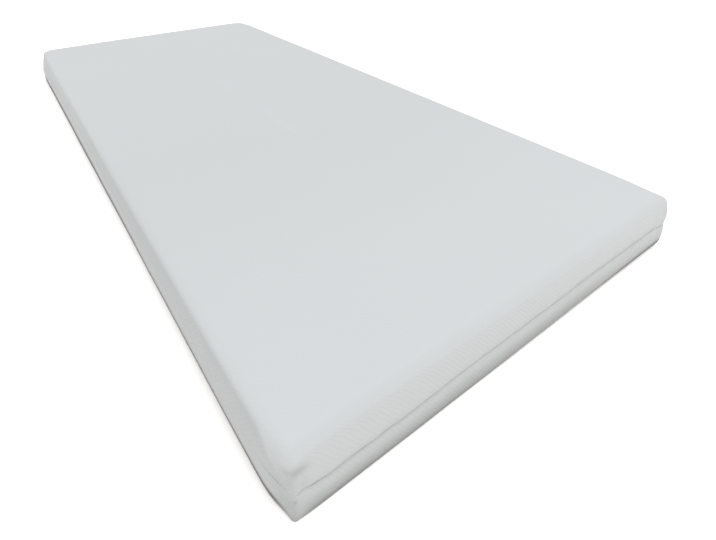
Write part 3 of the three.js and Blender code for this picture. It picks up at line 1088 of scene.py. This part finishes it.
class Finish(Nodes):
    """A material under construction. Its noises lie on the piece's Object coordinates."""

    def __init__(self, name):
        self.material = bpy.data.materials.new(name)
        self.material.use_nodes = True
        super().__init__(self.material.node_tree)
        self.shader = self.tree.nodes["Principled BSDF"]
        self.body = self.node("ShaderNodeTexCoord").outputs["Object"]

    def noise(self, scale, detail):
        sockets = {"Vector": self.body, "Scale": scale, "Detail": detail}
        return self.value(self.node("ShaderNodeTexNoise", sockets=sockets).outputs[0])

    def mixed(self, share, first, second):
        sockets = {"Factor": share, "A": first, "B": second}
        return self.node("ShaderNodeMix", {"data_type": "RGBA"}, sockets).outputs["Result"]

    def feed(self, socket, source):
        self.tree.links.new(source, self.shader.inputs[socket])

    def feed_relief(self, height, depth):
        sockets = {"Strength": 1.0, "Distance": depth, "Height": height}
        self.feed("Normal", self.node("ShaderNodeBump", sockets=sockets).outputs["Normal"])

    def set_all_over(self, socket, value):
        self.shader.inputs[socket].default_value = value


def wave(turns):
    """A soft wave between 0 and 1, once for each turn."""
    return (turns * (2.0 * math.pi)).cosine() * 0.5 + 0.5


print("finishes can be made")

# %% [markdown]
# ## The white double knit
#
# The cover's knit has fine diagonal ribs, a little under 6 mm apart, each a row of tiny
# loops. They are far too many and too low for mesh, so they are relief in the material:
# a cosine across the ribs for the ribs, a finer one along them for the loops, and a
# little noise so that no rib is quite straight. On the top the knit is stretched over the
# foam, so the ribs lie flatter there than on the sides. The ribs also darken the colour a
# trace in their valleys, where less light gets in, and the painted shade comes on top.

# %% The knit as a material
RIB_PITCH = 5.8
RIB_HEIGHT = 0.24
RIB_WANDER = 0.24
RIB_WANDER_SCALE = 14.0
TOP_RIB_SHARE = 0.35
TOP_RIB_EASE = 25
LOOP_PITCH = 2.4
LOOP_SHIFT = 0.5
FUZZ_SCALE = 900.0
RELIEF_SHARES = {"ribs": 0.72, "loops": 0.18, "fuzz": 0.1}
MOTTLE_SCALE = 5.0
# The ribs' share is painted shade in their valleys, and the mottle's share is the knit's own uneven tone.
RIB_SHADE_AND_MOTTLE_SHARES = {"ribs": 0.6, "mottle": 0.4}
DARKER_WHITE_FACTOR = 0.955
KNIT_ROUGHNESS = 0.9
KNIT_SPECULAR = 0.3
KNIT_SHEEN = 0.12
KNIT_SHEEN_ROUGHNESS = 0.5
# The two whites differ by a painted tint: the upper is a trace bluer, as the top looks under the cool
# surround, and the lower a trace less so, as the sides look in the floor's warmer light.
UPPER_WHITE = (0.448, 0.457, 0.461, 1.0)
LOWER_WHITE = (0.448, 0.457, 0.457, 1.0)
UPPER_RIB_ANGLE = 47.0
LOWER_RIB_ANGLE = 54.0
SHADE_COLOUR = (0.03, 0.029, 0.028, 1.0)


def white_knit(name, colour, rib_angle):
    """A white double knit whose ribs lie at rib_angle degrees to the sheet's first axis."""
    finish = Finish(name)
    sheet = finish.node("ShaderNodeUVMap", {"uv_map": "cloth"}).outputs["UV"]
    place = finish.node("ShaderNodeSeparateXYZ", sockets={"Vector": sheet}).outputs
    sheet_x, sheet_y = finish.value(place[0]), finish.value(place[1])
    angle = math.radians(rib_angle)
    wander = (finish.noise(RIB_WANDER_SCALE, detail=2.0) - 0.5) * RIB_WANDER
    ribs = (sheet_x * math.cos(angle) - sheet_y * math.sin(angle)) / (RIB_PITCH * MM) + wander
    loops = (sheet_x * math.sin(angle) + sheet_y * math.cos(angle)) / (LOOP_PITCH * MM)
    rib = wave(ribs)
    loop = wave(loops + ribs * LOOP_SHIFT)
    fuzz = finish.noise(FUZZ_SCALE, detail=3.0)
    beyond_end = sheet_x.size() - HALF_LENGTH * MM
    beyond_side = sheet_y.size() - HALF_WIDTH * MM
    on_side = (beyond_end.at_least(beyond_side) / (TOP_RIB_EASE * MM) + 0.5).at_least(0.0).at_most(1.0)
    stretched = on_side * (1.0 - TOP_RIB_SHARE) + TOP_RIB_SHARE
    knitted = rib * RELIEF_SHARES["ribs"] + rib * loop * RELIEF_SHARES["loops"]
    finish.feed_relief(knitted * stretched + fuzz * RELIEF_SHARES["fuzz"], RIB_HEIGHT * MM)
    mottle = finish.noise(MOTTLE_SCALE, detail=4.0)
    # Painted shade in the rib valleys, together with a random mottle of the knit's tone.
    rib_shade_and_mottle = (1.0 - rib) * stretched * RIB_SHADE_AND_MOTTLE_SHARES["ribs"] + mottle * RIB_SHADE_AND_MOTTLE_SHARES["mottle"]
    darker_white = tuple(part * DARKER_WHITE_FACTOR for part in colour[:3]) + (1.0,)
    tone = finish.mixed(rib_shade_and_mottle, colour, darker_white)
    painted = finish.node("ShaderNodeAttribute", {"attribute_name": "shade"}).outputs["Fac"]
    finish.feed("Base Color", finish.mixed(painted, tone, SHADE_COLOUR))
    finish.set_all_over("Roughness", KNIT_ROUGHNESS)
    finish.set_all_over("Specular IOR Level", KNIT_SPECULAR)
    finish.set_all_over("Sheen Weight", KNIT_SHEEN)
    finish.set_all_over("Sheen Roughness", KNIT_SHEEN_ROUGHNESS)
    return finish.material


upper_knit = white_knit("upper_knit", UPPER_WHITE, UPPER_RIB_ANGLE)
lower_knit = white_knit("lower_knit", LOWER_WHITE, LOWER_RIB_ANGLE)
for shell, knit in ((upper_shell, upper_knit), (lower_shell, lower_knit)):
    shell.data.materials.clear()
    shell.data.materials.append(knit)
print("materials:", upper_knit.name, lower_knit.name)

# %% [markdown]
# ## The seam's stitches
#
# A white thread holds the two shells together, and in the seam's valley its short slanting
# stitches show from close by. More than a thousand alike, evenly along a path, are a job
# for Geometry Nodes: the tree takes the seam's line, puts a small bead on it at every
# pitch, turns each along the line and slants it across the seam. The sizes are inputs, so
# that the same tree could sew any other seam.

# %% The stitches' sizes and the tree's inputs
STITCH_PITCH = 4.2
STITCH_LENGTH = 3.2
STITCH_THICKNESS = 0.8
STITCH_SLANT = 0.35
STITCH_UNEVENNESS = 0.1
STITCH_SIDES = 6
STITCH_RINGS = 5
STITCH_SEED = 11
BEAD_RADIUS = 0.5
STITCHING_INPUTS = {
    "Geometry": "NodeSocketGeometry",
    "Pitch": "NodeSocketFloat",
    "Length": "NodeSocketFloat",
    "Thickness": "NodeSocketFloat",
    "Slant": "NodeSocketFloat",
    "Unevenness": "NodeSocketFloat",
    "Seed": "NodeSocketInt",
    "Thread": "NodeSocketMaterial",
}


def geometry_tree(name, inputs):
    """A Geometry Nodes tree with those named inputs, and the sockets that give them."""
    group = bpy.data.node_groups.new(name, "GeometryNodeTree")
    for label, kind in inputs.items():
        group.interface.new_socket(label, in_out="INPUT", socket_type=kind)
    group.interface.new_socket("Geometry", in_out="OUTPUT", socket_type="NodeSocketGeometry")
    tree = Nodes(group)
    return tree, tree.node("NodeGroupInput").outputs


print("one stitch every", STITCH_PITCH, "mm,", STITCH_LENGTH, "mm long")

# %% Build the stitching tree


def stitching_tree():
    tree, given = geometry_tree("stitches_along_a_seam", STITCHING_INPUTS)
    line = tree.node("GeometryNodeMeshToCurve", sockets={"Mesh": given["Geometry"]})
    spaced = tree.node(
        "GeometryNodeResampleCurve",
        {"mode": "LENGTH"},
        {"Curve": line.outputs["Curve"], "Length": given["Pitch"]},
    )
    bead = tree.node(
        "GeometryNodeMeshUVSphere",
        sockets={"Segments": STITCH_SIDES, "Rings": STITCH_RINGS, "Radius": BEAD_RADIUS},
    )
    across = tree.node("ShaderNodeCombineXYZ", sockets={"Z": given["Slant"]})
    along = tree.node("GeometryNodeInputTangent")
    slanted = tree.node(
        "ShaderNodeVectorMath",
        {"operation": "ADD"},
        {0: along.outputs["Tangent"], 1: across.outputs["Vector"]},
    )
    turned_bead = tree.node(
        "FunctionNodeAlignRotationToVector",
        {"axis": "X"},
        {"Vector": slanted.outputs["Vector"]},
    )
    uneven = tree.value(given["Unevenness"])
    chance = tree.node(
        "FunctionNodeRandomValue",
        {"data_type": "FLOAT"},
        {"Min": 1.0 - uneven, "Max": 1.0 + uneven, "Seed": given["Seed"]},
    )
    factor = next(socket for socket in chance.outputs if socket.type == "VALUE" and socket.enabled)
    length = tree.value(given["Length"]) * tree.value(factor)
    size = tree.node(
        "ShaderNodeCombineXYZ",
        sockets={"X": length, "Y": given["Thickness"], "Z": given["Thickness"]},
    )
    sewn = tree.node(
        "GeometryNodeInstanceOnPoints",
        sockets={
            "Points": spaced.outputs["Curve"],
            "Instance": bead.outputs["Mesh"],
            "Rotation": turned_bead.outputs["Rotation"],
            "Scale": size.outputs["Vector"],
        },
    )
    real = tree.node("GeometryNodeRealizeInstances", sockets={"Geometry": sewn.outputs["Instances"]})
    smooth = tree.node("GeometryNodeSetShadeSmooth", sockets={"Geometry": real.outputs["Geometry"]})
    threaded = tree.node(
        "GeometryNodeSetMaterial",
        sockets={"Geometry": smooth.outputs["Geometry"], "Material": given["Thread"]},
    )
    tree.node("NodeGroupOutput", sockets={"Geometry": threaded.outputs["Geometry"]})
    return tree.tree


stitching = stitching_tree()
print("stitching tree with", len(stitching.nodes), "nodes")

# %% [markdown]
# ## The thread and the sewing
#
# The thread is a matt white polyester with a fine twist, shown as a fine wave in its
# relief. The tree is set on a closed line of points in the mouth of the seam's valley,
# where the corners' forms have moved it too.

# %% The thread
TWIST_PITCH = 0.6
TWIST_DEPTH = 0.05
FIBRE_SCALE = 2500.0
THREAD_LIGHT = (0.47, 0.475, 0.47, 1.0)
THREAD_DULL = (0.4, 0.405, 0.4, 1.0)
THREAD_ROUGHNESS = 0.7


def white_thread():
    """A matt thread, whose twist is a slanting wave in the relief."""
    finish = Finish("white_thread")
    place = finish.node("ShaderNodeSeparateXYZ", sockets={"Vector": finish.body}).outputs
    slant = finish.value(place[0]) + finish.value(place[1]) + finish.value(place[2])
    finish.feed_relief(wave(slant / (TWIST_PITCH * MM)), TWIST_DEPTH * MM)
    fibres = finish.noise(FIBRE_SCALE, detail=2.0)
    finish.feed("Base Color", finish.mixed(fibres, THREAD_LIGHT, THREAD_DULL))
    finish.set_all_over("Roughness", THREAD_ROUGHNESS)
    return finish.material


thread = white_thread()
print("material:", thread.name)

# %% Sew the seam
STITCH_OUT = 0.5
STITCH_OUT_SHARE = 0.3


def seam_line():
    """The line in the seam's valley, as a closed chain of points."""
    outward = np.minimum(STITCH_OUT, rim_draw * STITCH_OUT_SHARE)
    ring = side_ring(rim_draw - outward, rim_seam + SHELL_GAP / 2)
    ring += corner_forms(ring)[0]
    edges = [(here, (here + 1) % STATION_COUNT) for here in range(STATION_COUNT)]
    mesh = bpy.data.meshes.new("seam_stitches")
    mesh.from_pydata((ring * MM).tolist(), edges, [])
    line = bpy.data.objects.new("seam_stitches", mesh)
    bpy.context.scene.collection.objects.link(line)
    return line


def sew(line, thread):
    """Sets the tree on the line, with its sizes given by the sockets' identifiers."""
    sewing = line.modifiers.new("sewing", "NODES")
    sewing.node_group = stitching
    sizes_of_stitch = {
        "Pitch": STITCH_PITCH * MM,
        "Length": STITCH_LENGTH * MM,
        "Thickness": STITCH_THICKNESS * MM,
        "Slant": STITCH_SLANT,
        "Unevenness": STITCH_UNEVENNESS,
        "Seed": STITCH_SEED,
        "Thread": thread,
    }
    for item in stitching.interface.items_tree:
        if item.in_out == "INPUT" and item.name in sizes_of_stitch:
            sewing[item.identifier] = sizes_of_stitch[item.name]
    applied(line)


seam_stitches = seam_line()
sew(seam_stitches, thread)
print("seam_stitches:", len(seam_stitches.data.polygons), "faces")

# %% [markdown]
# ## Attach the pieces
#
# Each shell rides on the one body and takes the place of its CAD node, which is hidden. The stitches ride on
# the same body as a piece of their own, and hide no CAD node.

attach(upper_shell, "root")
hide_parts("upper_cover")
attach(lower_shell, "root")
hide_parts("lower_cover")
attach(seam_stitches, "root")
